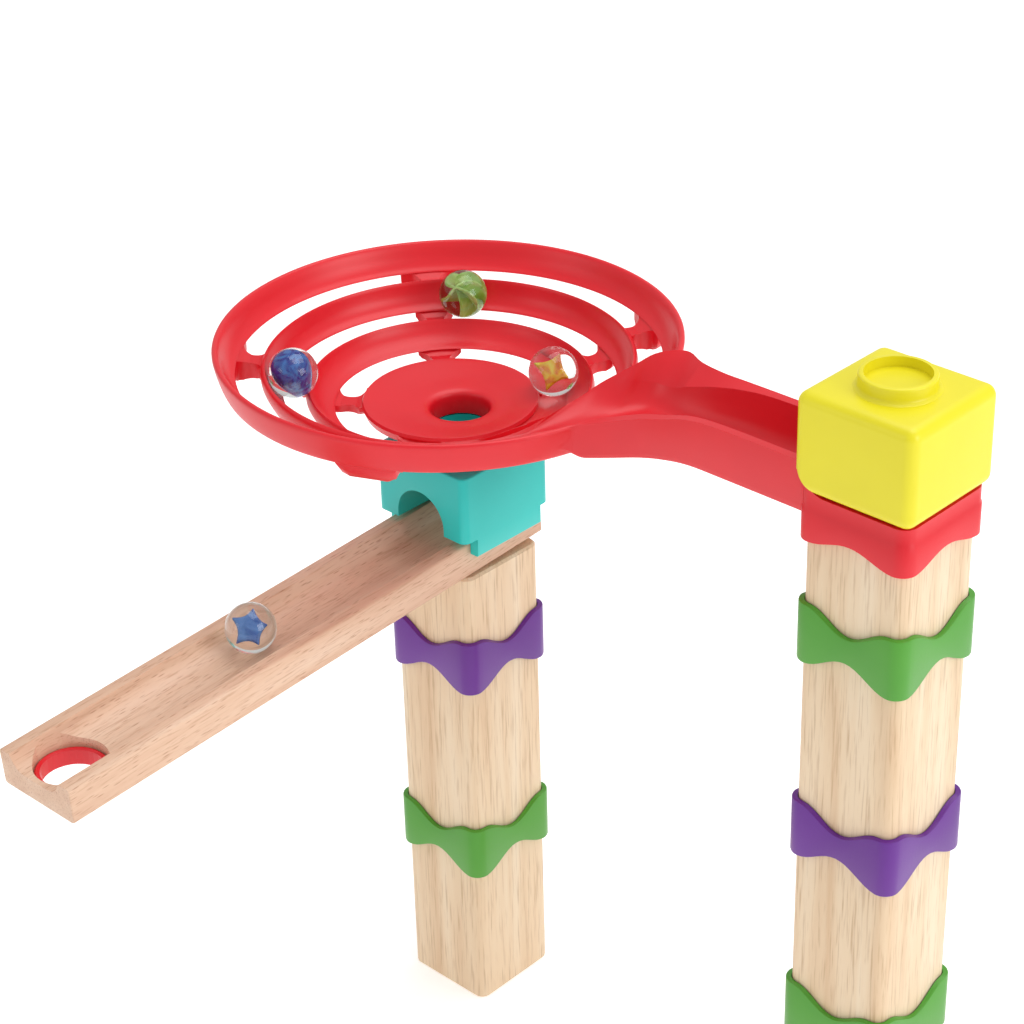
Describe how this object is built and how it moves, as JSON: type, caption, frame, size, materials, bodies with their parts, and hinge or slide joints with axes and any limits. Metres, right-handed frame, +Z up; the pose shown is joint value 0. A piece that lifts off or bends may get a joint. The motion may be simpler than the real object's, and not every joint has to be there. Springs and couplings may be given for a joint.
{
  "type": "marble run",
  "caption": "Marble run with a slotted funnel bowl and chute on square wood towers, a grooved wood rail, stacking blocks and glass marbles.",
  "frame": {"origin": "centre of the funnel tower's foot, on the floor", "axes": "+X from the funnel tower to the entry tower, -Y down the rail, +Z up"},
  "size_m": [0.2648, 0.2507, 0.2913],
  "materials": {
    "red_plastic": "satin moulded",
    "yellow_plastic": "satin moulded",
    "turquoise_plastic": "satin moulded",
    "green_plastic": "satin moulded",
    "purple_plastic": "satin moulded",
    "rubberwood": "sanded, clear lacquer",
    "beech": "sanded, clear lacquer",
    "green_glass": "polished, green swirl core",
    "blue_glass": "polished, blue core",
    "yellow_glass": "polished, yellow and red swirl core",
    "clear_blue_glass": "polished, blue swirl core"
  },
  "bodies": {
    "run": {"funnel_chute": "red_plastic", "exit_block": "turquoise_plastic", "rail": "beech", "drop_ring": "red_plastic", "rail_dowel": "beech", "post_A1": "rubberwood", "post_A2": "rubberwood", "post_A3": "rubberwood", "post_B1": "rubberwood", "post_B2": "rubberwood", "post_B3": "rubberwood", "post_B4": "rubberwood", "connector_A1": "purple_plastic", "connector_A2": "green_plastic", "connector_B1": "green_plastic", "connector_B2": "purple_plastic", "connector_B3": "green_plastic"},
    "entry": {"entry_block": "yellow_plastic"},
    "green_marble": {"marble_green": "green_glass"},
    "blue_marble": {"marble_blue": "blue_glass"},
    "fire_marble": {"marble_fire": "yellow_glass"},
    "star_marble": {"marble_star": "clear_blue_glass"}
  },
  "joints": [
    {"name": "entry_lift", "type": "slide", "parent": "run", "child": "entry", "axis": [0, 0, 1], "range_m": [0, 0.03]},
    {"name": "green_orbit", "type": "hinge", "parent": "run", "child": "green_marble", "pos_m": [-0.0019, -0.00215, 0.25], "axis": [0, 0, 1], "continuous": true},
    {"name": "blue_orbit", "type": "hinge", "parent": "run", "child": "blue_marble", "pos_m": [-0.0019, -0.00215, 0.25], "axis": [0, 0, 1], "continuous": true},
    {"name": "fire_orbit", "type": "hinge", "parent": "run", "child": "fire_marble", "pos_m": [-0.0019, -0.00215, 0.25], "axis": [0, 0, 1], "continuous": true},
    {"name": "rail_roll", "type": "slide", "parent": "run", "child": "star_marble", "axis": [0, -0.9986, -0.0523], "range_m": [-0.06, 0.05]}
  ],
  "couplings": [
    {"joint": "blue_orbit", "follows": "green_orbit", "ratio": 1}
  ]
}
